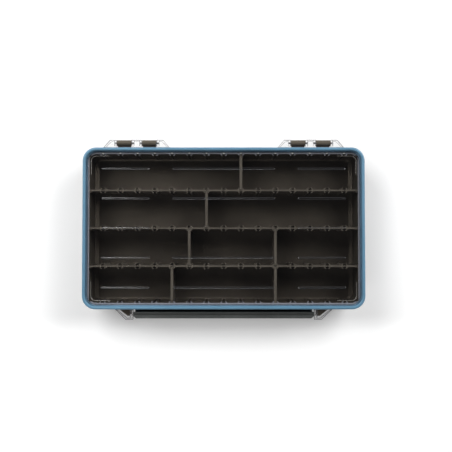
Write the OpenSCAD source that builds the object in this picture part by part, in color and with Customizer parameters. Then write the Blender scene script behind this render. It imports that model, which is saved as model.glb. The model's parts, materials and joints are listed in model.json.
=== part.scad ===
// Waterproof storage box: a deep divided tub, a clear lid in a coloured frame,
// four hinge barrels at the rear and one wide latch along the front.
// Millimetres. X runs along the box, Y from the latch to the hinges, Z up.
// The origin is the centre of the underside, midway between the frame's edges.
// An inset is a distance inwards from the outer edge of the lid frame.

/* [Box] */
// Length of the lid frame, the longest outline of the closed box
frame_l = 356; // [320:1:420]
// Width of the lid frame from front to rear
frame_w = 204; // [180:1:250]
// Height from the underside to the top of the frame
box_h = 50.8; // [48:0.2:70]
// Radius of the frame's corners, seen from above
corner_r = 17; // [16:0.5:24]

/* [Tub] */
// Inset of the tub's outer wall
wall_inset = 5.8; // [5.4:0.1:6.4]
// Thickness of the tub's wall
wall_t = 1.8; // [1.4:0.1:2.4]
// Thickness of the tub's floor
floor_t = 2.4; // [1.8:0.1:3.2]
// Radius between the wall and the floor
fillet_r = 5; // [4:0.5:7]
// Width of the sloping foot along the inside of each end wall
foot_w = 5.2; // [3:0.1:6]
// Height of that foot
foot_h = 3.4; // [2:0.1:4]
// Thickness of the flange that the seal presses on
flange_t = 2.2; // [1.8:0.1:2.8]
// Inset of the flange's edge
flange_inset = 2.6; // [2.5:0.05:3.2]
// Height of the wall's lip above the flange
lip_rise = 1.6; // [1.2:0.1:2]

/* [Lid] */
// Thickness of the clear window
window_t = 2.4; // [2:0.1:3]
// Height of the frame's rail above the window
rail_rise = 3.2; // [2.8:0.1:4]
// Width of the frame's rail
rail_w = 4.2; // [4.2:0.1:6]
// Radius along both top edges of the rail
rail_round = 2; // [1.2:0.1:2]
// Thickness of the frame's skirt
skirt_t = 2.2; // [1.8:0.1:2.3]
// How far the skirt hangs below the flange
skirt_overhang = 1.5; // [1:0.1:2]
// Thickness of the rib that keeps the seal in its groove
groove_rib_t = 1.2; // [0.8:0.1:1.6]
// Gap between that rib and the tub's lip
groove_rib_gap = 1.05; // [0.3:0.05:1.2]

/* [Seal] */
// Width of the seal
seal_w = 2.5; // [2:0.1:2.6]
// Height of the seal
seal_h = 3.4; // [3:0.1:4]
// Gap under the seal with the lid down
seal_gap = 0.05; // [0:0.01:0.1]

/* [Window details] */
// Width of a raised bead on the window
bead_w = 2.8; // [2:0.1:4]
// Height of a bead
bead_h = 0.8; // [0.5:0.1:1.2]
// How much a bead or a ridge narrows on each side towards its top
bead_slope = 0.6; // [0.3:0.1:0.8]
// Length of the beads in the middle column
bead_mid_l = 129; // [100:1:150]
// Gap between two beads in a row
bead_gap = 29; // [20:1:34]
// Inset of the outer ends of the beads
bead_end_inset = 24; // [20:1:30]
// Inset of the outer rows of beads
bead_row_inset = 27; // [22:1:34]
// Inset of the corner ridges
ridge_inset = 8.7; // [7:0.1:9]
// Width of a corner ridge
ridge_w = 3; // [2:0.1:3.4]
// Height of a corner ridge
ridge_h = 1.4; // [0.8:0.1:2]
// Reach of a corner ridge along each side, from the frame's edge
ridge_reach = 36.5; // [30:0.5:44]

/* [Dividers] */
// Thickness of a long divider
long_t = 2; // [1.6:0.1:2.4]
// Drop of the long dividers' top below the lip
long_drop = 0.8; // [0.4:0.1:2]
// Thickness of a cross divider's web
web_t = 2; // [1.6:0.1:2.4]
// Width of the cap along a cross divider's top
cap_w = 3.4; // [2.6:0.1:3.8]
// Gap between the cap's ends and the slots' ribs
cap_gap = 0.7; // [0.4:0.1:2]
// Height of that cap
cap_h = 2.4; // [1.6:0.1:3.4]
// Drop of the cross dividers' top below the long ones
cross_drop = 0.4; // [0.2:0.1:1.5]
// How much narrower the rows beside the front and rear walls are
outer_row_less = 0.8; // [0:0.1:2]
// Distance from the end wall to the first slot
slot_end_space = 17.3; // [14:0.1:22]
// Reach of a slot's ribs from the wall that carries them
slot_reach = 2.4; // [1.8:0.1:2.8]
// Thickness of a slot's rib
slot_rib_t = 1.25; // [0.9:0.05:1.4]
// How much wider a slot is at its wall than at its mouth, each side
slot_flare = 1.8; // [1.2:0.1:2.2]
// Width of the notch in a long divider at each slot
notch_w = 3; // [2:0.1:3.6]
// Depth of that notch
notch_depth = 1.6; // [0.8:0.1:20]
// Reach of the end channels that hold a long divider
channel_reach = 3; // [2:0.1:4]
// Thickness of a channel's rib
channel_rib_t = 1.2; // [0.9:0.1:1.6]
// Clearance between a divider and what holds it
divider_gap = 0.2; // [0.1:0.05:0.3]

/* [Hinges] */
// Distance from the frame's end to the middle of a hinge
hinge_inset = 67; // [62:0.5:80]
// Distance of the hinge axis behind the frame
hinge_out = 6.9; // [6:0.1:8]
// Height of the hinge axis above the bottom of the skirt
hinge_rise = 0.5; // [0:0.1:1.5]
// Radius of a hinge barrel
barrel_r = 3.8; // [3.4:0.1:4.2]
// Length of a hinge barrel
barrel_l = 18; // [14:0.5:20]
// Distance from the middle of a hinge to the middle of each barrel
barrel_offset = 16; // [14.5:0.5:18]
// Radius of a hinge pin
pin_r = 1.25; // [0.9:0.05:1.6]
// Clearance between a pin and the bore that turns on it
pin_run = 0.06; // [0.03:0.01:0.09]
// Thickness of a clear hinge ear
ear_t = 3; // [2:0.1:3.4]
// Gap between an ear and the part that it carries
ear_gap = 0.4; // [0.25:0.05:0.6]
// Thickness of the arm that carries a barrel
arm_t = 3; // [2:0.1:3.4]
// How much shorter than its barrel the arm is at each end
arm_step = 0.8; // [0.4:0.1:2]
// Half length of a hinge bracket at the frame
hinge_base_half = 43; // [38:0.5:45]
// Half length of a hinge bracket at its rear edge
hinge_edge_half = 34; // [32:0.5:37]

/* [Latch] */
// Length of the latch bar
latch_l = 228; // [200:1:240]
// Distance of the latch's axis in front of the frame
latch_out = 7.6; // [7:0.1:9]
// Height of the latch's axis above the bottom of the skirt
latch_rise = 3.3; // [2.5:0.1:4]
// Depth of the bar behind its axis
bar_back = 4; // [3.6:0.1:4.6]
// Depth of the bar in front of its axis
bar_front = 4.4; // [4:0.1:6]
// Height of the bar's rear ridge above its axis
bar_top = 4.2; // [3.6:0.1:5]
// Thickness of solid over the pin at the bar's valley
valley_cover = 1.05; // [0.8:0.05:1.4]
// Depth of the bar below its axis
bar_under = 3.8; // [3:0.1:4.6]
// Thickness of the latch's plate
latch_plate_t = 2.2; // [1.8:0.1:2.8]
// Drop from the axis to the top of the hook
hook_drop = 15.9; // [13:0.1:18]
// Thickness of the hook
hook_t = 2.7; // [2:0.1:3.4]
// Reach of the hook from the plate
hook_reach = 3.8; // [3:0.1:4.2]
// Overlap of the hook and its ledge when the latch is shut
hook_bite = 1; // [0.6:0.1:1.4]
// Gap between the hook and its ledge when the latch is shut
hook_gap = 0.3; // [0.2:0.05:0.5]
// Drop from the axis to the bottom of the finger lip
lip_drop = 24.6; // [22:0.1:28]
// Reach of the finger lip in front of the axis
finger_reach = 3.6; // [2:0.1:5]
// How much shorter the latch's front edge is at each end
end_taper = 3.5; // [2:0.1:5]
// Angle by which the latch stands open at rest, in degrees
latch_rest = 5.5; // [5:0.5:8]
// Length of the ledge that the hook catches
ledge_l = 196; // [160:1:200]
// Thickness of the ledge
ledge_t = 2.6; // [2:0.1:3.4]
// Number of gussets over the ledge
gusset_count = 9; // [5:1:13]
// Thickness of a gusset
gusset_t = 1.8; // [1.2:0.1:2.4]
// Thickness of the latch's ears
latch_ear_t = 3.6; // [2.6:0.1:4.4]
// Radius of the latch's ears
latch_ear_r = 4.4; // [3.6:0.1:4.8]
// Length of a latch bracket along the frame
bracket_base = 23.6; // [20:0.1:27]
// Length of a latch bracket along its front edge
bracket_edge = 9.6; // [7:0.1:12]
// Depth of a latch bracket
bracket_depth = 13.5; // [12:0.1:15]
// Thickness of the bracket plates
bracket_t = 2.2; // [1.6:0.1:2.8]
// Thickness of the rim round a bracket
bracket_rim_t = 1.8; // [1.2:0.1:2.4]
// Height of the rim below a bracket's plate
bracket_rim_drop = 2.4; // [1.5:0.1:3]
// Depth of the pin's seat in the latch bar
latch_pin_seat = 8; // [6:0.5:12]
// Depth of the guards in front of the frame
guard_depth = 9.2; // [5:0.1:9.8]
// Length of the guards
guard_l = 15.2; // [10:0.1:16]
// Length of the guards along their front edge
guard_edge = 3.6; // [3.2:0.1:8]
// Height of the guards
guard_h = 13; // [8:0.5:16]
// Wall of the guards
guard_wall = 1.8; // [1.4:0.1:2.4]

/* [Hidden] */
$fn = 48;

// Counts of rows, slots and beads, which have no size
row_count = 4;
slot_count = 15;
bead_row_count = 5;

// Overrun of every cut past the face that it opens
over = 1;
// Depth by which joined shapes run into each other
bite = 0.5;

// Heights
window_top = box_h - rail_rise;
window_low = window_top - window_t;
flange_top = window_low - seal_h - seal_gap;
flange_low = flange_top - flange_t;
lip_top = flange_top + lip_rise;
skirt_low = flange_low - skirt_overhang;
long_top = lip_top - long_drop;
cross_top = long_top - cross_drop;

// Inside of the tub and its grid of slots
inner_inset = wall_inset + wall_t;
inner_l = frame_l - 2 * inner_inset;
inner_w = frame_w - 2 * inner_inset;
row_pitch = (inner_w + long_t + 2 * outer_row_less) / row_count;
slot_pitch = (inner_l - 2 * slot_end_space) / (slot_count - 1);
mouth_half = web_t / 2 + divider_gap;
root_half = mouth_half + slot_flare;

// Hinge axis
hinge_x = frame_l / 2 - hinge_inset;
hinge_y = frame_w / 2 + hinge_out;
hinge_z = skirt_low + hinge_rise;
hinge_depth = hinge_out + barrel_r;
hinge_plate_top = hinge_z + barrel_r;
ear_from = barrel_l / 2 + ear_gap;
hinge_pin_l = 2 * (ear_from + ear_t) - 2 * ear_gap;
arm_top = skirt_low - ear_gap;

// Latch axis, hook and ledge
latch_y = -frame_w / 2 - latch_out;
latch_z = skirt_low + latch_rise;
latch_half = latch_l / 2;
plate_back = bar_back - ear_gap;
hook_tip = plate_back + hook_reach;
ledge_out = latch_out - hook_tip + hook_bite;
ledge_low = latch_z - hook_drop + hook_gap;
bracket_from = latch_half + ear_gap;
bracket_low = skirt_low + ear_gap / 2;
latch_pin_l = latch_pin_seat + ear_gap + latch_ear_t;
guard_from = bracket_from + latch_ear_t + ear_gap;

// Sweeps a section once round a rounded rectangle. The section's x is the inset, its y is the height.
module perimeter(l, w, r) {
    for (turn = [0, 180]) {
        rotate([0, 0, turn])
            translate([-(l / 2 - r), -w / 2, 0])
                rotate([90, 0, 90])
                    linear_extrude(l - 2 * r) children();
        rotate([0, 0, turn + 90])
            translate([-(w / 2 - r), -l / 2, 0])
                rotate([90, 0, 90])
                    linear_extrude(w - 2 * r) children();
    }
    for (turn = [0, 1, 2, 3]) {
        across = turn % 2 == 1;
        x = (across ? w : l) / 2 - r;
        y = (across ? l : w) / 2 - r;
        rotate([0, 0, 90 * turn])
            translate([x, y, 0])
                rotate_extrude(angle = 90)
                    translate([r, 0]) mirror([1, 0]) children();
    }
}

// A flat slab with round corners, its sides at the given inset
module slab(inset, low, high) {
    l = frame_l - 2 * inset;
    w = frame_w - 2 * inset;
    r = corner_r - inset;
    translate([0, 0, low])
        linear_extrude(high - low) {
            square([l - 2 * r, w], center = true);
            square([l, w - 2 * r], center = true);
            for (x = [-1, 1], y = [-1, 1])
                translate([x * (l / 2 - r), y * (w / 2 - r)]) circle(r);
        }
}

// A solid cylinder along X, centred on the origin
module rod(r, l) {
    rotate([0, 90, 0]) cylinder(h = l, r = r, center = true);
}

// Extrudes a section drawn in Y and Z along X, from one x to another
module along_x(from, to) {
    translate([from, 0, 0])
        rotate([90, 0, 90])
            linear_extrude(to - from) children();
}

// Section of the tub's wall, with the flange, the lip and the curve into the floor
module wall_section() {
    translate([wall_inset, fillet_r])
        square([wall_t, lip_top - fillet_r]);
    translate([flange_inset, flange_low])
        square([wall_inset - flange_inset + bite, flange_t]);
    difference() {
        translate([wall_inset, 0])
            square([wall_t + fillet_r, floor_t + fillet_r]);
        translate([inner_inset + fillet_r, floor_t + fillet_r]) circle(fillet_r);
        difference() {
            translate([wall_inset - over, -over]) square(fillet_r + over);
            translate([wall_inset + fillet_r, fillet_r]) circle(fillet_r);
        }
    }
}

// Plan of the two ribs of one slot, standing out along +Y from a wall's face at y = 0
module slot_ribs() {
    inside = root_half + bite * slot_flare / slot_reach;
    for (side = [-1, 1])
        polygon([
            [side * inside, -bite], [side * mouth_half, slot_reach],
            [side * (mouth_half + slot_rib_t), slot_reach],
            [side * (inside + slot_rib_t), -bite]
        ]);
}

// Places its children at every slot along X
module at_slots() {
    for (i = [0 : slot_count - 1])
        translate([slot_x(i), 0]) children();
}

function slot_x(i) = (i - (slot_count - 1) / 2) * slot_pitch;
function divider_y(k) = (row_count / 2 - k) * row_pitch;
function row_rear(r) = r == 0 ? inner_w / 2 : divider_y(r) - long_t / 2;
function row_front(r) = -row_rear(row_count - 1 - r);

// The ribs on the front and rear walls that take the cross dividers
module wall_slots() {
    translate([0, 0, floor_t])
        linear_extrude(long_top - floor_t)
            for (turn = [0, 180])
                rotate(turn)
                    translate([0, -inner_w / 2]) at_slots() slot_ribs();
}

// The sloping foot along the inside of each end wall
module end_feet() {
    slope = foot_h / foot_w;
    intersection() {
        slab(inner_inset - bite, 0, floor_t + foot_h + over);
        rotate([90, 0, 0])
            linear_extrude(frame_w, center = true)
                for (side = [0, 1])
                    mirror([side, 0])
                        polygon([
                            [inner_l / 2 - foot_w - bite / slope, floor_t - bite],
                            [inner_l / 2 + bite, floor_t + foot_h + bite * slope],
                            [inner_l / 2 + bite, floor_t - bite]
                        ]);
    }
}

// The channels on the end walls that hold the long dividers
module end_channels() {
    gap_half = long_t / 2 + divider_gap;
    translate([0, 0, floor_t])
        linear_extrude(long_top - floor_t)
            for (side = [-1, 1], k = [1 : row_count - 1], edge = [-1, 1])
                translate([
                    side * (inner_l / 2 - channel_reach / 2 + bite / 2),
                    divider_y(k) + edge * (gap_half + channel_rib_t / 2)
                ])
                    square([channel_reach + bite, channel_rib_t], center = true);
}

// Places its children on the axis at the middle of each hinge barrel
module at_barrels() {
    for (hinge = [-1, 1], barrel = [-1, 1])
        translate([hinge * hinge_x + barrel * barrel_offset, hinge_y, hinge_z])
            children();
}

// A hinge barrel with the arm that joins it to the tub's wall
module barrel_with_arm() {
    rod(barrel_r, barrel_l);
    arm_back = hinge_out + wall_inset + bite;
    along_x(arm_step - barrel_l / 2, barrel_l / 2 - arm_step) {
        translate([-arm_back, arm_top - arm_t - hinge_z])
            square([arm_back, arm_t]);
        polygon([
            [-arm_back, arm_top - hinge_z - bite],
            [-arm_back, arm_top - hinge_z - arm_back],
            [-barrel_r, arm_top - hinge_z - arm_t]
        ]);
    }
}

// The ledge that the latch's hook catches, with its gussets
module catch_ledge() {
    wall_y = -frame_w / 2 + wall_inset + bite;
    edge_y = -frame_w / 2 - ledge_out;
    along_x(-ledge_l / 2, ledge_l / 2)
        translate([edge_y, ledge_low]) square([wall_y - edge_y, ledge_t]);
    for (i = [0 : gusset_count - 1]) {
        x = (i / (gusset_count - 1) - 1 / 2) * (ledge_l - gusset_t);
        along_x(x - gusset_t / 2, x + gusset_t / 2)
            polygon([
                [wall_y, ledge_low + bite], [edge_y + bite, ledge_low + bite],
                [edge_y + bite, ledge_low + ledge_t],
                [wall_y - bite - gusset_t, arm_top], [wall_y, arm_top]
            ]);
    }
}

// The hollow guards at both ends of the latch, open below
module latch_guards() {
    for (side = [0, 1])
        mirror([side, 0, 0])
            translate([guard_from, -frame_w / 2, arm_top - guard_h])
                difference() {
                    linear_extrude(guard_h) guard_plan(0);
                    translate([0, 0, -over])
                        linear_extrude(guard_h - guard_wall + over) guard_plan(guard_wall);
                }
}

// Plan of one guard, drawn in by its wall where that is given
module guard_plan(inset) {
    back = inset > 0 ? wall_inset : wall_inset + bite;
    polygon([
        [inset, back], [guard_l - inset, back], [guard_l - inset, 0],
        [guard_edge - inset / 2, -guard_depth + inset], [inset, -guard_depth + inset]
    ]);
}

module tub() {
    color([0.24, 0.22, 0.20])
        difference() {
            union() {
                perimeter(frame_l, frame_w, corner_r) wall_section();
                slab(inner_inset + fillet_r - bite, 0, floor_t);
                end_feet();
                wall_slots();
                end_channels();
                at_barrels() barrel_with_arm();
                catch_ledge();
                latch_guards();
            }
            at_barrels() rod(pin_r, barrel_l + 2 * over);
        }
}

// Outline of a divider that fits the curve between the walls and the floor
module divider_outline(l, h) {
    translate([-l / 2, fillet_r]) square([l, h - fillet_r]);
    translate([-(l / 2 - fillet_r), 0]) square([l - 2 * fillet_r, fillet_r + bite]);
    for (side = [-1, 1])
        translate([side * (l / 2 - fillet_r), fillet_r]) circle(fillet_r);
}

// Outline of a long divider, which also clears the feet along the end walls
module long_outline(l, h) {
    intersection() {
        divider_outline(l, h);
        polygon([
            [-l / 2, foot_h], [foot_w - l / 2, 0], [l / 2 - foot_w, 0], [l / 2, foot_h],
            [l / 2, h], [-l / 2, h]
        ]);
    }
}

// A long divider, the k-th from the rear, with slots on both sides
module long_divider(k) {
    l = inner_l - 2 * divider_gap;
    h = long_top - floor_t;
    reach = long_t / 2 + slot_reach;
    color([0.36, 0.33, 0.30])
        translate([0, divider_y(k), floor_t])
            difference() {
                intersection() {
                    union() {
                        linear_extrude(h) square([l, long_t], center = true);
                        linear_extrude(h)
                            for (turn = [0, 180])
                                rotate(turn)
                                    translate([0, long_t / 2]) at_slots() slot_ribs();
                    }
                    rotate([90, 0, 0])
                        linear_extrude(2 * (reach + over), center = true)
                            long_outline(l, h);
                }
                translate([0, 0, h - notch_depth])
                    linear_extrude(notch_depth + over)
                        at_slots() square([notch_w, long_t + 2 * bite], center = true);
            }
}

// A cross divider with its dovetail ends and its cap.
// Row 0 is the rear one and slot 0 the left one.
module cross_divider(row, slot) {
    rear = row_rear(row);
    front = row_front(row);
    l = rear - front - 2 * divider_gap;
    h = cross_top - floor_t;
    head_half = root_half - 2 * divider_gap;
    cap_l = rear - front - 2 * (slot_reach + cap_gap);
    color([0.40, 0.37, 0.34])
        translate([slot_x(slot), (rear + front) / 2, floor_t]) {
            intersection() {
                linear_extrude(h) {
                    square([web_t, l], center = true);
                    for (turn = [0, 180])
                        rotate(turn)
                            polygon([
                                [-head_half, l / 2], [head_half, l / 2],
                                [web_t / 2, l / 2 - slot_flare - divider_gap],
                                [-web_t / 2, l / 2 - slot_flare - divider_gap]
                            ]);
                }
                along_x(-(root_half + over), root_half + over) divider_outline(l, h);
            }
            translate([0, 0, h - cap_h / 2])
                cube([cap_w, cap_l, cap_h], center = true);
        }
}

// A hinge pin, the n-th from the left
module hinge_pin(n) {
    hinge = n < 3 ? -1 : 1;
    barrel = n % 2 == 1 ? -1 : 1;
    color([0.75, 0.76, 0.78])
        translate([hinge * hinge_x + barrel * barrel_offset, hinge_y, hinge_z])
            rod(pin_r, hinge_pin_l);
}

// Plan of a hinge bracket, drawn in by the given amount
module hinge_plan(inset) {
    polygon([
        [-(hinge_base_half - inset), 0], [hinge_base_half - inset, 0],
        [hinge_edge_half - inset, hinge_depth - inset],
        [-(hinge_edge_half - inset), hinge_depth - inset]
    ]);
}

// One clear hinge bracket, its frame edge on y = 0
module hinge_bracket() {
    plate_low = hinge_plate_top - bracket_t;
    rim_low = plate_low - bracket_rim_drop;
    axis = [0, hinge_out, hinge_z];
    difference() {
        union() {
            translate([0, 0, plate_low]) linear_extrude(bracket_t) hinge_plan(0);
            difference() {
                translate([0, 0, rim_low]) linear_extrude(bracket_rim_drop + bite) hinge_plan(0);
                translate([0, 0, rim_low - over])
                    linear_extrude(bracket_rim_drop + bite + 2 * over)
                        hinge_plan(bracket_rim_t);
            }
        }
        for (barrel = [-1, 1])
            translate([
                barrel * barrel_offset - ear_from,
                hinge_out - barrel_r - ear_gap, rim_low - over
            ])
                cube([2 * ear_from, hinge_depth + over, hinge_plate_top - rim_low + 2 * over]);
    }
    difference() {
        for (barrel = [-1, 1], side = [-1, 1]) {
            from = barrel * barrel_offset + (side > 0 ? ear_from : -ear_from - ear_t);
            along_x(from, from + ear_t) {
                translate([hinge_out, hinge_z]) circle(barrel_r);
                translate([0, plate_low]) square([hinge_out, bracket_t]);
                translate([hinge_out - barrel_r, hinge_z]) square([barrel_r, barrel_r]);
            }
        }
        translate(axis) rod(pin_r + pin_run, 2 * hinge_base_half);
    }
    riser(-hinge_base_half, hinge_base_half, plate_low);
}

// The clear wall that joins a bracket to the window through the frame's skirt
module riser(from, to, low) {
    translate([from, -skirt_t, low]) cube([to - from, skirt_t, window_top - low]);
    translate([from, -skirt_t - bite, window_low])
        cube([to - from, skirt_t + bite, window_t]);
}

// Plan of one latch bracket, drawn in by the given amount, with x from the bar's end
module latch_plan(inset) {
    polygon([
        [inset, 0], [bracket_base - inset, 0],
        [bracket_edge - inset, bracket_depth - inset], [inset, bracket_depth - inset]
    ]);
}

// One clear latch bracket at the bar's right end, its frame edge on y = 0
module latch_bracket() {
    difference() {
        union() {
            translate([0, 0, bracket_low]) linear_extrude(bracket_t) latch_plan(0);
            difference() {
                translate([0, 0, bracket_low])
                    linear_extrude(bracket_t + bracket_rim_drop) latch_plan(0);
                translate([0, 0, bracket_low - over])
                    linear_extrude(bracket_t + bracket_rim_drop + 2 * over)
                        latch_plan(bracket_rim_t);
            }
            along_x(0, latch_ear_t) {
                translate([latch_out, latch_z]) circle(latch_ear_r);
                translate([0, bracket_low])
                    square([latch_out, latch_z + latch_ear_r - bracket_low]);
            }
        }
        translate([0, latch_out, latch_z]) rod(pin_r, 2 * (latch_ear_t + over));
    }
    riser(0, bracket_base, bracket_low);
}

// The raised beads, all but the one in the middle
module beads() {
    pitch = (frame_w - 2 * bead_row_inset) / (bead_row_count - 1);
    side_from = bead_mid_l / 2 + bead_gap;
    side_to = frame_l / 2 - bead_end_inset;
    middle = (bead_row_count - 1) / 2;
    for (row = [0 : bead_row_count - 1])
        translate([0, (row - middle) * pitch, window_top - bite]) {
            if (row != middle) bead(-bead_mid_l / 2, bead_mid_l / 2);
            bead(side_from, side_to);
            bead(-side_to, -side_from);
        }
}

// One bead with round ends and sloping sides, its foot sunk into the window
module bead(from, to) {
    r = bead_w / 2;
    foot = r + bead_slope * bite / bead_h;
    h = bead_h + bite;
    for (x = [from + r, to - r])
        translate([x, 0, 0]) cylinder(h = h, r1 = foot, r2 = r - bead_slope);
    along_x(from + r, to - r)
        polygon([[-foot, 0], [foot, 0], [r - bead_slope, h], [bead_slope - r, h]]);
}

// The four ridges at the window's corners
module corner_ridges() {
    l = frame_l / 2;
    w = frame_w / 2;
    reach = ridge_reach + ridge_inset;
    spread = bead_slope * bite / ridge_h;
    intersection() {
        perimeter(frame_l, frame_w, corner_r)
            translate([ridge_inset, window_top])
                polygon([
                    [-spread, -bite], [bead_slope, ridge_h],
                    [ridge_w - bead_slope, ridge_h], [ridge_w + spread, -bite]
                ]);
        translate([0, 0, window_top - over])
            linear_extrude(ridge_h + 2 * over)
                for (x = [-1, 1], y = [-1, 1])
                    polygon([[x * l, y * w], [x * (l - reach), y * w], [x * l, y * (w - reach)]]);
    }
}

module lid_window() {
    color([0.55, 0.56, 0.58, 0.35]) {
        slab(skirt_t, window_low, window_top);
        perimeter(frame_l, frame_w, corner_r)
            translate([wall_inset, lip_top + groove_rib_gap])
                square([groove_rib_t, window_low - lip_top - groove_rib_gap + bite]);
        corner_ridges();
        beads();
        for (side = [-1, 1])
            translate([side * hinge_x, frame_w / 2, 0]) hinge_bracket();
        for (side = [0, 1])
            mirror([side, 0, 0])
                translate([bracket_from, -frame_w / 2, 0])
                    mirror([0, 1, 0]) latch_bracket();
    }
}

// Section of the lid frame: the skirt and the rounded rail
module frame_section() {
    translate([0, skirt_low]) square([skirt_t, window_top - skirt_low + bite]);
    translate([0, window_top]) square([rail_w, rail_rise - rail_round]);
    translate([rail_round, window_top]) square([rail_w - 2 * rail_round, rail_rise]);
    for (x = [rail_round, rail_w - rail_round])
        translate([x, box_h - rail_round])
            intersection() {
                circle(rail_round);
                translate([-rail_round, -(rail_rise - rail_round)])
                    square([2 * rail_round, rail_rise]);
            }
}

// Cuts the skirt away where a bracket passes through it
module skirt_notch(from, to, low) {
    translate([from, -skirt_t, low])
        cube([to - from, skirt_t + over, window_top - low]);
}

module lid_frame() {
    color([0.25, 0.42, 0.55])
        difference() {
            perimeter(frame_l, frame_w, corner_r) frame_section();
            for (side = [-1, 1])
                translate([side * hinge_x, frame_w / 2, 0])
                    skirt_notch(-hinge_base_half, hinge_base_half, skirt_low - over);
            for (side = [0, 1])
                mirror([side, 0, 0])
                    translate([bracket_from, -frame_w / 2, 0])
                        mirror([0, 1, 0]) skirt_notch(0, bracket_base, skirt_low - over);
        }
}

module lid_seal() {
    low = flange_top + seal_gap;
    middle = (skirt_t + wall_inset) / 2 - seal_w / 2;
    color([0.16, 0.30, 0.42])
        perimeter(frame_l, frame_w, corner_r)
            translate([middle, low]) {
                translate([0, seal_w / 2]) square([seal_w, seal_h - seal_w / 2]);
                translate([seal_w / 2, seal_w / 2]) circle(seal_w / 2);
            }
}

// Section of the latch, shut, about its axis: x to the front, y up
module latch_section() {
    back = plate_back - latch_plate_t;
    valley = pin_r + valley_cover;
    edge = bar_top - valley;
    polygon([
        [-bar_back, bar_top - edge / 2], [-bar_back + edge / 3, bar_top],
        [-bar_back + edge, bar_top], [0, valley], [pin_r, valley],
        [bar_front - edge / 2, bar_top - edge / 4], [bar_front, bar_top - edge / 2],
        [bar_front, -pin_r], [bar_front - edge, -valley],
        [-back, -bar_under], [-back, -hook_drop - hook_t / 2],
        [finger_reach, -lip_drop + hook_t / 2], [finger_reach, -lip_drop],
        [finger_reach - latch_plate_t, -lip_drop],
        [-plate_back, -hook_drop - hook_t - hook_gap],
        [-hook_tip + hook_bite, -hook_drop - hook_t],
        [-hook_tip, -hook_drop - hook_t / 2], [-hook_tip, -hook_drop],
        [-plate_back, -hook_drop], [-plate_back, -bar_under], [-bar_back, -valley]
    ]);
}

// Plan of the corner cut off the latch's right front end, y to the front
module latch_corner() {
    slope = end_taper / (bar_front - pin_r);
    polygon([
        [latch_half, pin_r],
        [latch_half - end_taper - slope * over, bar_front + over],
        [latch_half + over, bar_front + over], [latch_half + over, pin_r]
    ]);
}

module latch_bar() {
    color([0.22, 0.21, 0.20])
        translate([0, latch_y, latch_z])
            rotate([-latch_rest, 0, 0])
                difference() {
                    mirror([0, 1, 0]) along_x(-latch_half, latch_half) latch_section();
                    for (side = [-1, 1])
                        translate([side * latch_half, 0, 0])
                            rod(pin_r + pin_run, 2 * (latch_pin_seat + ear_gap));
                    for (side = [0, 1])
                        mirror([side, 0, 0])
                            mirror([0, 1, 0])
                                translate([0, 0, -lip_drop - over])
                                    linear_extrude(lip_drop + bar_top + 2 * over)
                                        latch_corner();
                }
}

// A latch pin, pressed into the ear and turning in the bar
module latch_pin(side) {
    color([0.75, 0.76, 0.78])
        translate([
            side * (latch_half - latch_pin_seat + latch_pin_l / 2), latch_y, latch_z
        ])
            rod(pin_r, latch_pin_l);
}

tub();
long_divider(1);  // long_divider_rear
long_divider(2);  // long_divider_middle
long_divider(3);  // long_divider_front
cross_divider(0, 8);  // cross_divider_1
cross_divider(1, 6);  // cross_divider_2
cross_divider(2, 5);  // cross_divider_3
cross_divider(2, 10);  // cross_divider_4
cross_divider(3, 4);  // cross_divider_5
cross_divider(3, 10);  // cross_divider_6
hinge_pin(1);  // hinge_pin_1
hinge_pin(2);  // hinge_pin_2
hinge_pin(3);  // hinge_pin_3
hinge_pin(4);  // hinge_pin_4
lid_window();
lid_frame();
lid_seal();
latch_bar();
latch_pin(-1);  // latch_pin_left
latch_pin(1);  // latch_pin_right
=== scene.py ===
"""Waterproof storage box: moulded finishes, softened edges, a clear lid and a pale studio."""

import json
import math

import bpy
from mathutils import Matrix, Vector

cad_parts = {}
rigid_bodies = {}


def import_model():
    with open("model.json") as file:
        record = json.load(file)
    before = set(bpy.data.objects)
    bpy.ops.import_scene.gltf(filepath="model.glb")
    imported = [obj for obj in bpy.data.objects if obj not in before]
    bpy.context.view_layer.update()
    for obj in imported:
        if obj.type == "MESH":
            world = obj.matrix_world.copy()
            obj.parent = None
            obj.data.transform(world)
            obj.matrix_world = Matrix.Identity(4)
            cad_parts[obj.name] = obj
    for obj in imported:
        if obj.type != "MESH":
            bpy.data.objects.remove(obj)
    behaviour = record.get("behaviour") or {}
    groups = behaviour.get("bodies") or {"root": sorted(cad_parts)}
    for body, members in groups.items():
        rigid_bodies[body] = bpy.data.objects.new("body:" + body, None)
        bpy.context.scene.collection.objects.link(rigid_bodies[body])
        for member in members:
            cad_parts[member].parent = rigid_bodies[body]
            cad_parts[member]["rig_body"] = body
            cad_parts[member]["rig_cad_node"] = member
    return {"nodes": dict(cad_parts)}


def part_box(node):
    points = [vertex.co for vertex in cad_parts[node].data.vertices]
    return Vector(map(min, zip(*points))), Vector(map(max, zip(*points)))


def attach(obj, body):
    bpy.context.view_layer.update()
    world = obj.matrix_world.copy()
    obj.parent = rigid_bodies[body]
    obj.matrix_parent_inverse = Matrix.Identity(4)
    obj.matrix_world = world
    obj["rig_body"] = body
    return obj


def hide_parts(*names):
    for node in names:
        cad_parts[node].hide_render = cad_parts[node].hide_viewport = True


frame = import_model()
bpy.context.view_layer.update()

bl_info = {
    "name": "Waterproof Storage Box",
    "version": (1, 0, 0),
    "blender": (4, 5, 0),
    "location": "View3D > Sidebar > Storage Box",
    "description": "Dresses the packed storage box with plastics, steel and a clear lid, and lights it",
    "category": "Object",
}

MM = 0.001

LONG_DIVIDERS = ("long_divider_rear", "long_divider_middle", "long_divider_front")
CROSS_DIVIDERS = tuple(f"cross_divider_{n}" for n in range(1, 7))
HINGE_PINS = tuple(f"hinge_pin_{n}" for n in range(1, 5))
LATCH_PINS = ("latch_pin_left", "latch_pin_right")
SLOT_COUNT = 15

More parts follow.
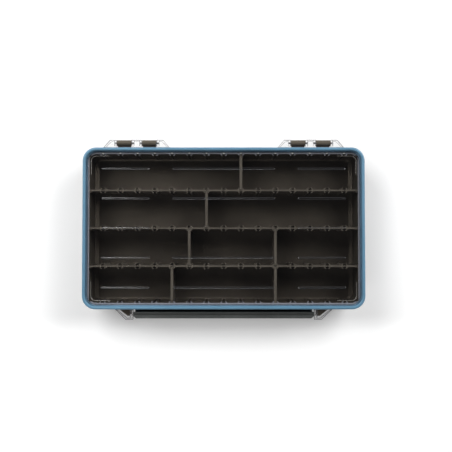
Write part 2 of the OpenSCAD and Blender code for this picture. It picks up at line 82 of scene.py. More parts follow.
# Measures of the lid, as in the part's source: its frame's corner radius and its corner ridges
FRAME_CORNER = 17 * MM
RIDGE_INSET = 8.7 * MM
RIDGE_WIDTH = 3 * MM
RIDGE_HEIGHT = 1.4 * MM

# Places on the box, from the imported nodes
FRAME_END, FRAME_SIDE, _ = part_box("lid_frame")[1]
DIVIDER_END, _, DIVIDER_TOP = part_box("long_divider_rear")[1]
CAP_LOW, CAP_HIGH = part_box("cross_divider_1")
SLOT_PITCH = (CAP_LOW[0] + CAP_HIGH[0]) / 2
LIP_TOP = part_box("tub")[1][2]
LIP_MIDDLE = CAP_HIGH[1] + 1.1 * MM
RIDGE_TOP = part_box("lid_window")[1][2]
WINDOW_TOP = RIDGE_TOP - RIDGE_HEIGHT

# Bounds that the finishes' masks follow: a height, or the corner of a box about the origin.
# An axis that plays no part in a corner gets a bound far outside the storage box.
SHARP = 0.1 * MM
NO_BOUND = 1
# A pale tone is painted as a highlight on the lip, above this height and outside this corner
LIP_HIGHLIGHT_LOW = DIVIDER_TOP - 0.25 * MM
LIP_HIGHLIGHT_CORNER = (DIVIDER_END + 0.1 * MM, CAP_HIGH[1] - 1.7 * MM, NO_BOUND)
OUTSIDE_CORNER = (DIVIDER_END + 2.8 * MM, CAP_HIGH[1] + 2.8 * MM, NO_BOUND)
BRACKET_CORNER = (NO_BOUND, FRAME_SIDE + 0.2 * MM, NO_BOUND)
# A band of painted shade runs along the brackets' feet, up to this corner
BRACKET_FOOT_SHADOW_CORNER = (NO_BOUND, FRAME_SIDE + 1.2 * MM, NO_BOUND)
BEAD_LOW = WINDOW_TOP + 0.05 * MM
BEAD_CREST_LOW = WINDOW_TOP + 0.6 * MM
RIDGE_CREST_LOW = RIDGE_TOP - 0.5 * MM
RIDGE_CORNER = (FRAME_END - FRAME_CORNER, FRAME_SIDE - FRAME_CORNER, NO_BOUND)
RIDGE_MIDDLE_RADIUS = FRAME_CORNER - RIDGE_INSET - RIDGE_WIDTH / 2 - SHARP
GLOW_CORNER = (FRAME_END, FRAME_SIDE + 8 * MM, 0)

# Where the camera stands, what it looks at, and its focal length in millimetres
CAMERA_PLACE = (2.95 * MM, -23.36 * MM, 900.4 * MM)
CAMERA_AIM = (2.95 * MM, 2.6 * MM, 50.8 * MM)
CAMERA_LENS = 53.9

# Each light's place, what it points at, its width and height, and its spread in degrees
BOX_MIDDLE = (0, 0, 0.03)
LEFT_BEADS = (-0.13, 0, 0.05)
LIGHTS = {
    "left": ((-0.7, 0.62, 0.85), BOX_MIDDLE, 0.85, 0.7, 180),
    "right": ((0.85, 0.62, 0.8), BOX_MIDDLE, 0.8, 0.7, 180),
    "strip": ((-0.31, 0.5, 0.9), LEFT_BEADS, 0.12, 0.5, 30),
    "front": ((-0.25, -0.75, 0.9), BOX_MIDDLE, 0.8, 0.2, 180),
}
FLOOR_RADIUS = 6

# How high the surroundings are still pale, and from where they are dark, as the sine of the slant
PALE_UP_TO = 0.2
DARK_FROM = 0.6


# Properties


def colour_property(name, description, default):
    return bpy.props.FloatVectorProperty(
        name=name, description=description, default=default, subtype="COLOR", size=3, min=0, max=1
    )


def length_property(name, description, default):
    return bpy.props.FloatProperty(
        name=name,
        description=description,
        default=default,
        min=0,
        max=10 * MM,
        precision=5,
        subtype="DISTANCE",
        unit="LENGTH",
    )


def share_property(name, description, default):
    return bpy.props.FloatProperty(
        name=name, description=description, default=default, min=0, max=1, subtype="FACTOR"
    )


def power_property(name, description, default):
    return bpy.props.FloatProperty(
        name=name, description=description, default=default, min=0, max=1000, unit="POWER"
    )


class STORAGEBOX_PG_sizes(bpy.types.PropertyGroup):
    tub_edge: length_property("Tub edges", "Radius of the tub's moulded edges", 0.25 * MM)
    divider_edge: length_property("Divider edges", "Radius of the dividers' edges", 0.12 * MM)
    cap_edge: length_property("Cap edges", "Radius along a cross divider's cap", 0.45 * MM)
    frame_edge: length_property("Frame edges", "Radius of the lid frame's lower edges", 0.3 * MM)
    window_edge: length_property("Window edges", "Radius of the window's moulded edges", 0.22 * MM)
    crest_edge: length_property("Bead crests", "Radius along the window's raised crests", 0.5 * MM)
    latch_edge: length_property("Latch edges", "Radius of the latch bar's edges", 0.35 * MM)
    pin_edge: length_property("Pin ends", "Radius round the pins' ends", 0.3 * MM)
    mark_length: length_property("Mark length", "Length of a slot mark along the lip", 2.2 * MM)
    mark_width: length_property("Mark width", "Width of a slot mark across the lip", 1.5 * MM)
    mark_height: length_property("Mark height", "Whole height of a slot mark", 0.5 * MM)
    mark_foot: length_property("Mark foot", "How deep a slot mark sits in the lip", 0.18 * MM)
    mark_edge: length_property("Mark edges", "Radius of the slot marks' edges", 0.15 * MM)


class STORAGEBOX_PG_finishes(bpy.types.PropertyGroup):
    tub: colour_property("Tub", "Colour of the moulded tub", (0.045, 0.039, 0.032))
    # This is no colour the lip has: a pale tone painted along the tub's top edge as a highlight
    lip: colour_property("Sealing lip", "Colour of the tub's rubbed top edge", (0.3, 0.31, 0.35))
    divider: colour_property("Dividers", "Colour of the dividers", (0.09, 0.08, 0.067))
    frame: colour_property("Lid frame", "Colour of the lid's frame", (0.12, 0.265, 0.39))
    seal: colour_property("Seal", "Colour of the rubber seal", (0.18, 0.3, 0.43))
    latch: colour_property("Latch", "Colour of the latch bar", (0.05, 0.054, 0.052))
    steel: colour_property("Pins", "Colour of the steel pins", (0.5, 0.49, 0.48))
    window: colour_property("Window", "Body colour of the clear window", (0.035, 0.035, 0.04))
    # A grey tint painted as shade along the clear brackets' edges and feet
    window_rim_shade: colour_property("Window edges", "Tint of the brackets' edges", (0.09, 0.083, 0.1))
    # A pale tone painted as a highlight along the corner ridges' inner slopes
    window_ridge_highlight: colour_property("Window ridges", "Tint of the corner ridges", (0.3, 0.28, 0.25))
    # A near-white colour painted on the slot marks as a highlight
    mark: colour_property("Slot marks", "Colour of the marks on the rear lip", (0.85, 0.84, 0.8))
    sheen: colour_property("Sheen", "Tint of the tub's and the dividers' gloss", (1.0, 0.86, 0.68))
    wear: share_property("Wear", "How pale the rubbed edges are", 0.35)


class STORAGEBOX_PG_studio(bpy.types.PropertyGroup):
    floor: colour_property("Floor", "Colour of the studio floor", (0.86, 0.86, 0.86))
    glow: share_property("Floor glow", "Light that the floor itself gives off near the box", 0.2)
    far_glow: share_property("Far glow", "Light that the floor itself gives off farther away", 0.4)
    left_power: power_property("Left light", "Power of the large light at the rear left", 10.1)
    right_power: power_property("Right light", "Power of the large light at the rear right", 12.1)
    strip_power: power_property("Strip light", "Power of the narrow strip at the rear left", 0.04)
    front_power: power_property("Front light", "Power of the wide strip in front", 2.3)
    sky: share_property("Sky", "Brightness of the surroundings near the horizon", 0.35)


# Selection and mesh helpers


def clear_selection():
    if bpy.context.object and bpy.context.object.mode != "OBJECT":
        bpy.ops.object.mode_set(mode="OBJECT")
    bpy.ops.object.select_all(action="DESELECT")


def select_only(piece):
    clear_selection()
    piece.select_set(True)
    bpy.context.view_layer.objects.active = piece


def apply_modifiers(piece):
    select_only(piece)
    for modifier in list(piece.modifiers):
        bpy.ops.object.modifier_apply(modifier=modifier.name)


def copy_of(node, name):
    """A piece that starts as a node's shape, its triangles merged and its flat faces joined."""
    source = frame["nodes"][node]
    piece = source.copy()
    piece.data = source.data.copy()
    piece.name = piece.data.name = name
    piece.parent = None
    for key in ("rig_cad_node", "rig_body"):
        if key in piece:
            del piece[key]
    bpy.context.scene.collection.objects.link(piece)
    select_only(piece)
    bpy.ops.object.mode_set(mode="EDIT")
    bpy.ops.mesh.select_all(action="SELECT")
    bpy.ops.mesh.remove_doubles(threshold=0.002 * MM)
    bpy.ops.mesh.dissolve_limited(angle_limit=math.radians(0.2))
    bpy.ops.object.mode_set(mode="OBJECT")
    return piece


def round_edges(piece, width, segments=2, sharper_than=25):
    """Rounds every edge whose faces turn by more than the given angle in degrees."""
    bevel = piece.modifiers.new("Round edges", "BEVEL")
    bevel.width = width
    bevel.segments = segments
    bevel.limit_method = "ANGLE"
    bevel.angle_limit = math.radians(sharper_than)
    bevel.miter_outer = "MITER_ARC"
    apply_modifiers(piece)


def round_crests(piece, above, width, segments=4):
    """Rounds the edges that lie wholly above a height, such as the crests of the window's beads."""
    mesh = piece.data
    weights = mesh.attributes.new("bevel_weight_edge", "FLOAT", "EDGE")
    for edge in mesh.edges:
        lowest = min(mesh.vertices[index].co.z for index in edge.vertices)
        weights.data[edge.index].value = 1.0 if lowest > above else 0.0
    bevel = piece.modifiers.new("Round crests", "BEVEL")
    bevel.width = width
    bevel.segments = segments
    bevel.limit_method = "WEIGHT"
    apply_modifiers(piece)
    piece.data.attributes.remove(piece.data.attributes["bevel_weight_edge"])


def shade(piece, angle=35):
    """Smooth shading that keeps sharp edges sharp and large faces flat."""
    select_only(piece)
    bpy.ops.object.shade_smooth_by_angle(angle=math.radians(angle))
    weigh = piece.modifiers.new("Keep faces flat", "WEIGHTED_NORMAL")
    weigh.mode = "FACE_AREA"
    weigh.weight = 100
    weigh.keep_sharp = True
    apply_modifiers(piece)
    clear_selection()


def stand_for(piece, node, slot):
    """The piece takes a node's place and body, and the finish of a slot."""
    piece.data.materials.clear()
    piece.data.materials.append(finish_for(slot))
    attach(piece, frame["nodes"][node]["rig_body"])
    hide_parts(node)


# Node groups


def new_group(name, inputs, outputs):
    group = bpy.data.node_groups.new(name, "ShaderNodeTree")
    for label, kind, default in inputs:
        socket = group.interface.new_socket(name=label, in_out="INPUT", socket_type=kind)
        socket.default_value = default
    for label, kind in outputs:
        group.interface.new_socket(name=label, in_out="OUTPUT", socket_type=kind)
    return group, group.nodes.new("NodeGroupInput"), group.nodes.new("NodeGroupOutput")


def feed(tree, socket, value):
    """Links a socket to another one, or gives it a constant."""
    if isinstance(value, bpy.types.NodeSocket):
        tree.links.new(value, socket)
    else:
        socket.default_value = value


def math_node(tree, operation, first, second, clamp=False):
    node = tree.nodes.new("ShaderNodeMath")
    node.operation = operation
    node.use_clamp = clamp
    feed(tree, node.inputs[0], first)
    feed(tree, node.inputs[1], second)
    return node.outputs[0]


def vector_node(tree, operation, first, second=None):
    node = tree.nodes.new("ShaderNodeVectorMath")
    node.operation = operation
    for index, value in enumerate((first, second)):
        if value is not None:
            tree.links.new(value, node.inputs[index])
    return node.outputs["Value" if operation in ("LENGTH", "DOT_PRODUCT") else "Vector"]


def noise_node(tree, vector, scale, detail, roughness=0.5):
    node = tree.nodes.new("ShaderNodeTexNoise")
    node.inputs["Detail"].default_value = detail
    node.inputs["Roughness"].default_value = roughness
    tree.links.new(vector, node.inputs["Vector"])
    feed(tree, node.inputs["Scale"], scale)
    return node.outputs["Fac"]


def remap(tree, value, low, high, to_low=0.0, to_high=1.0):
    node = tree.nodes.new("ShaderNodeMapRange")
    node.clamp = True
    tree.links.new(value, node.inputs["Value"])
    node.inputs["From Min"].default_value = low
    node.inputs["From Max"].default_value = high
    node.inputs["To Min"].default_value = to_low
    node.inputs["To Max"].default_value = to_high
    return node.outputs["Result"]


def height_of(tree, vector):
    split = tree.nodes.new("ShaderNodeSeparateXYZ")
    tree.links.new(vector, split.inputs[0])
    return split.outputs["Z"]


def normal_height(tree):
    """How much a face looks up: 1 when it lies flat and looks up."""
    return height_of(tree, tree.nodes.new("ShaderNodeNewGeometry").outputs["Normal"])


def grain_group():
    """Fine moulded grain: an even height pattern, and a slower mottle for colour and gloss."""
    group, start, end = new_group(
        "Moulded Grain",
        [("Grain Scale", "NodeSocketFloat", 2200.0), ("Mottle Scale", "NodeSocketFloat", 28.0)],
        [("Height", "NodeSocketFloat"), ("Mottle", "NodeSocketFloat")],
    )
    place = group.nodes.new("ShaderNodeTexCoord").outputs["Object"]
    fine = noise_node(group, place, start.outputs["Grain Scale"], 3.0, 0.6)
    slow = noise_node(group, place, start.outputs["Mottle Scale"], 3.0, 0.55)
    group.links.new(fine, end.inputs["Height"])
    group.links.new(remap(group, slow, 0.3, 0.7), end.inputs["Mottle"])
    return group


def wear_and_bracket_shade_group():
    """A mask that is high along edges, broken up by noise as far as Break says: edge wear on the
    plastics, and painted shade along the clear brackets' edges.
    """
    group, start, end = new_group(
        "Edge Wear",
        [
            ("Reach", "NodeSocketFloat", 0.5 * MM),
            ("Break", "NodeSocketFloat", 1.0),
            ("Break Scale", "NodeSocketFloat", 260.0),
        ],
        [("Mask", "NodeSocketFloat")],
    )
    place = group.nodes.new("ShaderNodeTexCoord").outputs["Object"]
    bevel = group.nodes.new("ShaderNodeBevel")
    bevel.samples = 4
    group.links.new(start.outputs["Reach"], bevel.inputs["Radius"])
    normal = group.nodes.new("ShaderNodeNewGeometry").outputs["Normal"]
    along = vector_node(group, "DOT_PRODUCT", bevel.outputs["Normal"], normal)
    turned = math_node(group, "SUBTRACT", 1.0, along)
    edge = remap(group, turned, 0.01, 0.22)
    patches = noise_node(group, place, start.outputs["Break Scale"], 4.0, 0.65)
    gaps = remap(group, patches, 0.62, 0.42)
    lost = math_node(group, "MULTIPLY", gaps, start.outputs["Break"])
    kept = math_node(group, "SUBTRACT", 1.0, lost)
    group.links.new(math_node(group, "MULTIPLY", edge, kept), end.inputs["Mask"])
    return group


def placement_group():
    """Masks for what is above a height, what is away from a box about the origin, and slopes."""
    group, start, end = new_group(
        "Placement",
        [
            ("Height", "NodeSocketFloat", 0.0),
            ("Corner", "NodeSocketVector", (0, 0, 0)),
            ("Squeeze", "NodeSocketVector", (1, 1, 1)),
            ("Near", "NodeSocketFloat", 0.0),
            ("Far", "NodeSocketFloat", 1.0),
        ],
        [("Above", "NodeSocketFloat"), ("Away", "NodeSocketFloat"), ("Slope", "NodeSocketFloat")],
    )
    place = group.nodes.new("ShaderNodeTexCoord").outputs["Object"]
    over = math_node(group, "SUBTRACT", height_of(group, place), start.outputs["Height"])
    group.links.new(remap(group, over, 0.0, 0.05 * MM), end.inputs["Above"])
    group.links.new(remap(group, normal_height(group), 0.9995, 0.985), end.inputs["Slope"])
    size = vector_node(group, "ABSOLUTE", place)
    past_corner = vector_node(group, "SUBTRACT", size, start.outputs["Corner"])
    outside = vector_node(group, "MAXIMUM", past_corner)
    pressed = vector_node(group, "MULTIPLY", outside, start.outputs["Squeeze"])
    length = vector_node(group, "LENGTH", pressed)
    past = math_node(group, "SUBTRACT", length, start.outputs["Near"])
    span = math_node(group, "SUBTRACT", start.outputs["Far"], start.outputs["Near"])
    group.links.new(math_node(group, "DIVIDE", past, span, clamp=True), end.inputs["Away"])
    return group


def dust_group():
    """Light dust on faces that look up, in soft patches."""
    group, start, end = new_group(
        "Settled Dust",
        [("Patch Scale", "NodeSocketFloat", 45.0), ("Speck Scale", "NodeSocketFloat", 900.0)],
        [("Mask", "NodeSocketFloat")],
    )
    place = group.nodes.new("ShaderNodeTexCoord").outputs["Object"]
    up = remap(group, normal_height(group), 0.6, 1.0)
    patches = noise_node(group, place, start.outputs["Patch Scale"], 3.0)
    specks = noise_node(group, place, start.outputs["Speck Scale"], 2.0, 0.7)
    both = math_node(
        group, "MULTIPLY", remap(group, patches, 0.4, 0.75), remap(group, specks, 0.5, 0.75)
    )
    group.links.new(math_node(group, "MULTIPLY", up, both), end.inputs["Mask"])
    return group


GROUPS = {}


def group_node(tree, name, **values):
    makers = {
        "Moulded Grain": grain_group,
        "Edge Wear": wear_and_bracket_shade_group,
        "Settled Dust": dust_group,
        "Placement": placement_group,
    }
    if name not in GROUPS:
        GROUPS[name] = makers[name]()
    node = tree.nodes.new("ShaderNodeGroup")
    node.node_tree = GROUPS[name]
    for label, value in values.items():
        node.inputs[label.replace("_", " ")].default_value = value
    return node


def mix_colour(tree, factor, first, second):
    node = tree.nodes.new("ShaderNodeMix")
    node.data_type = "RGBA"
    node.clamp_factor = True
    tree.links.new(factor, node.inputs[0])
    for index, value in ((6, first), (7, second)):
        if isinstance(value, bpy.types.NodeSocket):
            tree.links.new(value, node.inputs[index])
        else:
            node.inputs[index].default_value = (*value, 1)
    return node.outputs[2]


# Materials

# Moulded plastic: how far its mottle moves the roughness, its bump, and its dust
GLOSS_SPREAD = 0.06
GRAIN_STRENGTH = 0.35
DUST_COLOUR = (0.5, 0.48, 0.45)

# The tub's outside against its inside: how many times as pale, a painted highlight that brightens the
# hinge barrels, and how much rougher
OUTSIDE_HIGHLIGHT_FACTOR = 2.0
OUTSIDE_ROUGHER = 0.2

# The window: how opaque it is face on, along its brackets' edges and feet, which carry painted shade,
# and along its crests
FILM = 0.04
RIM_GAIN = 4.0
RIM_SHARE = 0.9
FOOT_SHADOW_SHARE = 0.45
LINE_SHARE = 0.7


def new_material(name):
    """An empty node material with its Principled BSDF on the output."""
    material = bpy.data.materials.new(name)
    material.use_nodes = True
    tree = material.node_tree
    tree.nodes.clear()
    shader = tree.nodes.new("ShaderNodeBsdfPrincipled")
    output = tree.nodes.new("ShaderNodeOutputMaterial")
    tree.links.new(shader.outputs[0], output.inputs["Surface"])
    return material, tree, shader, output


def add_bump(tree, shader, height, strength, depth):
    bump = tree.nodes.new("ShaderNodeBump")
    bump.inputs["Strength"].default_value = strength
    bump.inputs["Distance"].default_value = depth
    tree.links.new(height, bump.inputs["Height"])
    tree.links.new(bump.outputs["Normal"], shader.inputs["Normal"])


def shaded(colour, factor):
    return tuple(min(1.0, part * factor) for part in colour)


def paled(colour, share):
    return tuple(part + (1 - part) * share for part in colour)


def lip_and_outside(tree, tone, gloss, colour, lip):
    """Adds a pale tone painted on the tub's lip as a highlight, makes its outside paler as a painted
    highlight, and makes the outside more matt than its inside.
    """
    outer = group_node(tree, "Placement", Corner=OUTSIDE_CORNER, Far=5 * SHARP).outputs["Away"]
    # Painted highlight: the tub's outside, with its hinge barrels, is painted paler than its inside
    tone = mix_colour(tree, outer, tone, shaded(colour, OUTSIDE_HIGHLIGHT_FACTOR))
    rougher = math_node(tree, "MULTIPLY", outer, OUTSIDE_ROUGHER)
    gloss = math_node(tree, "ADD", gloss, rougher)
    place = group_node(tree, "Placement", Height=LIP_HIGHLIGHT_LOW, Corner=LIP_HIGHLIGHT_CORNER, Far=SHARP)
    # Painted highlight: the lip and the tops of the wall's slot ribs are painted pale
    lip_highlight_mask = math_node(tree, "MULTIPLY", place.outputs["Above"], place.outputs["Away"])
    lip_highlight_mask = math_node(tree, "SUBTRACT", lip_highlight_mask, outer, clamp=True)
    return mix_colour(tree, lip_highlight_mask, tone, lip), gloss


def moulded_plastic(
    name,
    colour,
    roughness,
    grain=2200.0,
    depth=0.02 * MM,
    wear=0.2,
    dust=0.0,
    mottle=0.14,
    lip=None,
    sheen=(1, 1, 1),
):
    """Moulded plastic with grain, slow mottle, pale rubbed edges and a little dust."""
    material, tree, shader, _ = new_material(name)
    surface = group_node(tree, "Moulded Grain", Grain_Scale=grain)
    rubbed = group_node(tree, "Edge Wear")
    slow = surface.outputs["Mottle"]
    tone = mix_colour(tree, slow, shaded(colour, 1 - mottle), shaded(colour, 1 + mottle))
    gloss = remap(tree, slow, 0, 1, roughness - GLOSS_SPREAD, roughness + GLOSS_SPREAD)
    # For the tub: painted highlights on its lip and its outside
    if lip:
        tone, gloss = lip_and_outside(tree, tone, gloss, colour, lip)
    worn = math_node(tree, "MULTIPLY", rubbed.outputs["Mask"], wear)
    tone = mix_colour(tree, worn, tone, paled(colour, 0.5))
    if dust:
        settled = group_node(tree, "Settled Dust")
        dusty = math_node(tree, "MULTIPLY", settled.outputs["Mask"], dust)
        tone = mix_colour(tree, dusty, tone, DUST_COLOUR)
    tree.links.new(tone, shader.inputs["Base Color"])
    tree.links.new(gloss, shader.inputs["Roughness"])
    shader.inputs["Specular Tint"].default_value = (*sheen, 1)
    add_bump(tree, shader, surface.outputs["Height"], GRAIN_STRENGTH, depth)
    return material


def drawn_steel(name, colour):
    """Steel wire drawn along X: fine lengthwise lines in gloss and height."""
    material, tree, shader, _ = new_material(name)
    place = tree.nodes.new("ShaderNodeTexCoord").outputs["Object"]
    stretch = tree.nodes.new("ShaderNodeMapping")
    stretch.inputs["Scale"].default_value = (0.04, 1, 1)
    tree.links.new(place, stretch.inputs["Vector"])
    lines = noise_node(tree, stretch.outputs["Vector"], 9000.0, 2.0, 0.6)
    tone = mix_colour(tree, lines, shaded(colour, 0.75), shaded(colour, 1.25))
    tree.links.new(tone, shader.inputs["Base Color"])
    shader.inputs["Metallic"].default_value = 1.0
    tree.links.new(remap(tree, lines, 0.3, 0.7, 0.3, 0.5), shader.inputs["Roughness"])
    add_bump(tree, shader, lines, 0.2, 0.01 * MM)
    return material


def window_masks(tree):
    """Where the brackets' rims and feet show painted shade, where the beads with the ridges show as
    lines, and where the ridges alone get a painted highlight.
    """
    edges = group_node(tree, "Edge Wear", Reach=0.9 * MM, Break=0.2)
    bracket = group_node(tree, "Placement", Corner=BRACKET_CORNER, Far=SHARP)
    past_foot_shadow = group_node(tree, "Placement", Corner=BRACKET_FOOT_SHADOW_CORNER, Far=5 * SHARP)
    strong = math_node(tree, "MULTIPLY", edges.outputs["Mask"], RIM_GAIN, clamp=True)
    # Painted shade: grey lines along the brackets' edges, and a grey band along their feet
    foot = math_node(tree, "SUBTRACT", 1.0, past_foot_shadow.outputs["Away"])
    faint_foot_shadow = math_node(tree, "MULTIPLY", foot, FOOT_SHADOW_SHARE)
    rims = math_node(tree, "MAXIMUM", strong, faint_foot_shadow)
    rims = math_node(tree, "MULTIPLY", rims, bracket.outputs["Away"])
    raised = group_node(tree, "Placement", Height=BEAD_LOW)
    # Of the ridges, only the inner slopes show
    beyond = group_node(
        tree,
        "Placement",
        Corner=RIDGE_CORNER,
        Near=RIDGE_MIDDLE_RADIUS,
        Far=RIDGE_MIDDLE_RADIUS + 2 * SHARP,
    )
    inner = math_node(tree, "SUBTRACT", raised.outputs["Above"], beyond.outputs["Away"], clamp=True)
    lines = math_node(tree, "MULTIPLY", inner, raised.outputs["Slope"])
    # The corner ridges' crests, where a pale tone is painted as a highlight
    crests = group_node(tree, "Placement", Height=RIDGE_CREST_LOW)
    ridges = math_node(tree, "MULTIPLY", lines, crests.outputs["Above"])
    return rims, lines, ridges


def clear_plastic(name, body, rim_shade, ridge_highlight):
    """Clear polished plastic: seen through face on, glossy at a slant, lined along its crests, with
    painted shade along its brackets' rims and feet and a painted highlight on its corner ridges.
    """
    material, tree, shader, output = new_material(name)
    rims, lines, ridges = window_masks(tree)
    # Painted shade along the brackets' edges and feet
    tone = mix_colour(tree, rims, body, rim_shade)
    # Painted highlight: the corner ridges' inner slopes are tinted pale
    tone = mix_colour(tree, ridges, tone, ridge_highlight)
    tree.links.new(tone, shader.inputs["Base Color"])
    tree.links.new(lines, shader.inputs["Coat Weight"])
    shader.inputs["Coat Roughness"].default_value = 0.16
    shader.inputs["Coat IOR"].default_value = 2.4
    surface = group_node(tree, "Moulded Grain", Mottle_Scale=35.0)
    gloss = remap(tree, surface.outputs["Mottle"], 0, 1, 0.04, 0.1)
    tree.links.new(gloss, shader.inputs["Roughness"])
    slant = tree.nodes.new("ShaderNodeLayerWeight")
    slant.inputs["Blend"].default_value = 0.5
    film = math_node(tree, "POWER", slant.outputs["Facing"], 4.0)
    film = math_node(tree, "ADD", film, FILM)
    film = math_node(tree, "ADD", film, math_node(tree, "MULTIPLY", rims, RIM_SHARE))
    shown_lines = math_node(tree, "MULTIPLY", lines, LINE_SHARE)
    film = math_node(tree, "ADD", film, shown_lines, clamp=True)
    tree.links.new(film, shader.inputs["Alpha"])
    through = tree.nodes.new("ShaderNodeBsdfTransparent")
    through.inputs["Color"].default_value = (0.97, 0.97, 0.97, 1)
    path = tree.nodes.new("ShaderNodeLightPath")
    mix = tree.nodes.new("ShaderNodeMixShader")
    tree.links.new(path.outputs["Is Shadow Ray"], mix.inputs[0])
    tree.links.new(shader.outputs[0], mix.inputs[1])
    tree.links.new(through.outputs[0], mix.inputs[2])
    tree.links.new(mix.outputs[0], output.inputs["Surface"])
    return material


def floor_finish(name, colour, glow, far_glow):
    """Pale seamless floor with a trace of texture and a faint glow that grows away from the box."""
    material, tree, shader, _ = new_material(name)
    surface = group_node(tree, "Moulded Grain", Mottle_Scale=2.0)
    tone = mix_colour(tree, surface.outputs["Mottle"], shaded(colour, 0.99), shaded(colour, 1.01))
    tree.links.new(tone, shader.inputs["Base Color"])
    shader.inputs["Roughness"].default_value = 0.9
    shader.inputs["Specular IOR Level"].default_value = 0.1
    place = group_node(
        tree, "Placement", Corner=GLOW_CORNER, Squeeze=(0.25, 1, 1), Near=4 * MM, Far=26 * MM
    )
    light = mix_colour(tree, place.outputs["Away"], (glow,) * 3, (far_glow,) * 3)
    tree.links.new(light, shader.inputs["Emission Color"])
    shader.inputs["Emission Strength"].default_value = 1.0
    return material


MATERIALS = {}


def finish_for(slot):
    """The material of a slot that the record names, made once."""
    if slot in MATERIALS:
        return MATERIALS[slot]
    finishes = bpy.context.scene.storage_box_finishes
    wear = finishes.wear
    recipes = {
        "tub_plastic": dict(
            maker=moulded_plastic,
            colour=finishes.tub,
            roughness=0.42,
            wear=wear * 0.12,
            dust=0.03,
            lip=finishes.lip,
            sheen=finishes.sheen,
        ),
        "divider_plastic": dict(
            maker=moulded_plastic,
            colour=finishes.divider,
            roughness=0.42,
            wear=wear * 0.3,
            sheen=finishes.sheen,
        ),
        "frame_plastic": dict(
            maker=moulded_plastic,
            colour=finishes.frame,
            roughness=0.34,
            grain=1500.0,
            depth=0.008 * MM,
            wear=wear * 0.5,
            mottle=0.05,
        ),
        "seal_rubber": dict(
            maker=moulded_plastic, colour=finishes.seal, roughness=0.6, grain=3000.0, wear=0.0
        ),
        "latch_plastic": dict(
            maker=moulded_plastic, colour=finishes.latch, roughness=0.4, wear=wear * 0.5, dust=0.03
        ),
        "pin_steel": dict(maker=drawn_steel, colour=finishes.steel),
        "window_plastic": dict(
            maker=clear_plastic,
            body=finishes.window,
            rim_shade=finishes.window_rim_shade,
            ridge_highlight=finishes.window_ridge_highlight,
        ),
    }
    if slot not in recipes:
        raise ValueError(f"no finish is made for slot {slot}")
    recipe = recipes[slot]
    maker = recipe.pop("maker")
    MATERIALS[slot] = maker(slot, **recipe)
    return MATERIALS[slot]


# Pieces


class STORAGEBOX_OT_tub(bpy.types.Operator):
    """Make the moulded tub with softened edges"""

    bl_idname = "storage_box.tub"
    bl_label = "Tub"

    def execute(self, context):
        sizes = context.scene.storage_box_sizes
        piece = copy_of("tub", "moulded_tub")
        round_edges(piece, sizes.tub_edge)
        shade(piece)
        stand_for(piece, "tub", "tub_plastic")
        return {"FINISHED"}


class STORAGEBOX_OT_marks(bpy.types.Operator):
    """Make the small raised marks on the rear lip, one behind each slot"""

    bl_idname = "storage_box.marks"
    bl_label = "Slot marks"

    def execute(self, context):
        sizes = context.scene.storage_box_sizes
        size = (sizes.mark_length, sizes.mark_width, sizes.mark_height)
        height = LIP_TOP - sizes.mark_foot + sizes.mark_height / 2
        clear_selection()
        made = []
        for number in range(SLOT_COUNT):
            place = ((number - SLOT_COUNT // 2) * SLOT_PITCH, LIP_MIDDLE, height)
            bpy.ops.mesh.primitive_cube_add(size=1, location=place, scale=size)
            made.append(context.object)
        for piece in made:
            piece.select_set(True)
        context.view_layer.objects.active = made[0]
        bpy.ops.object.join()
        marks = context.object
        marks.name = marks.data.name = "slot_marks"
        bpy.ops.object.transform_apply(location=True, rotation=True, scale=True)
        round_edges(marks, sizes.mark_edge)
        shade(marks)
        finishes = context.scene.storage_box_finishes
        # The marks are painted near-white as a highlight
        marks.data.materials.append(moulded_plastic("slot_marks", finishes.mark, 0.42))
        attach(marks, "base")
        return {"FINISHED"}


class STORAGEBOX_OT_dividers(bpy.types.Operator):
    """Make the long and the cross dividers"""

    bl_idname = "storage_box.dividers"
    bl_label = "Dividers"

    def execute(self, context):
        sizes = context.scene.storage_box_sizes
        for node in LONG_DIVIDERS + CROSS_DIVIDERS:
            piece = copy_of(node, "moulded_" + node)
            if node in CROSS_DIVIDERS:
                round_crests(piece, CAP_HIGH[2] - 0.15 * MM, sizes.cap_edge, segments=3)
            round_edges(piece, sizes.divider_edge)
            shade(piece)
            stand_for(piece, node, "divider_plastic")
        return {"FINISHED"}


class STORAGEBOX_OT_pins(bpy.types.Operator):
    """Make the steel hinge and latch pins"""

    bl_idname = "storage_box.pins"
    bl_label = "Pins"

    def execute(self, context):
        sizes = context.scene.storage_box_sizes
        for node in HINGE_PINS + LATCH_PINS:
            piece = copy_of(node, "steel_" + node)
            round_edges(piece, sizes.pin_edge, segments=3, sharper_than=40)
            shade(piece)
            stand_for(piece, node, "pin_steel")
        return {"FINISHED"}


class STORAGEBOX_OT_lid(bpy.types.Operator):
    """Make the lid: its clear window, its frame and its seal"""

    bl_idname = "storage_box.lid"
    bl_label = "Lid"

    def execute(self, context):
        sizes = context.scene.storage_box_sizes
        window = copy_of("lid_window", "clear_window")
        round_crests(window, BEAD_CREST_LOW, sizes.crest_edge)
        round_edges(window, sizes.window_edge)
        shade(window)
        stand_for(window, "lid_window", "window_plastic")
        rail = copy_of("lid_frame", "blue_frame")
        round_edges(rail, sizes.frame_edge, sharper_than=40)
        shade(rail, 40)
        stand_for(rail, "lid_frame", "frame_plastic")
        seal = copy_of("lid_seal", "rubber_seal")
        round_edges(seal, sizes.window_edge, sharper_than=40)
        shade(seal, 40)
        stand_for(seal, "lid_seal", "seal_rubber")
        return {"FINISHED"}


class STORAGEBOX_OT_latch(bpy.types.Operator):
    """Make the latch bar"""

    bl_idname = "storage_box.latch"
    bl_label = "Latch"

    def execute(self, context):
        sizes = context.scene.storage_box_sizes
        piece = copy_of("latch_bar", "moulded_latch_bar")
        round_edges(piece, sizes.latch_edge, segments=3)
        shade(piece)
        stand_for(piece, "latch_bar", "latch_plastic")
        return {"FINISHED"}


# Stage


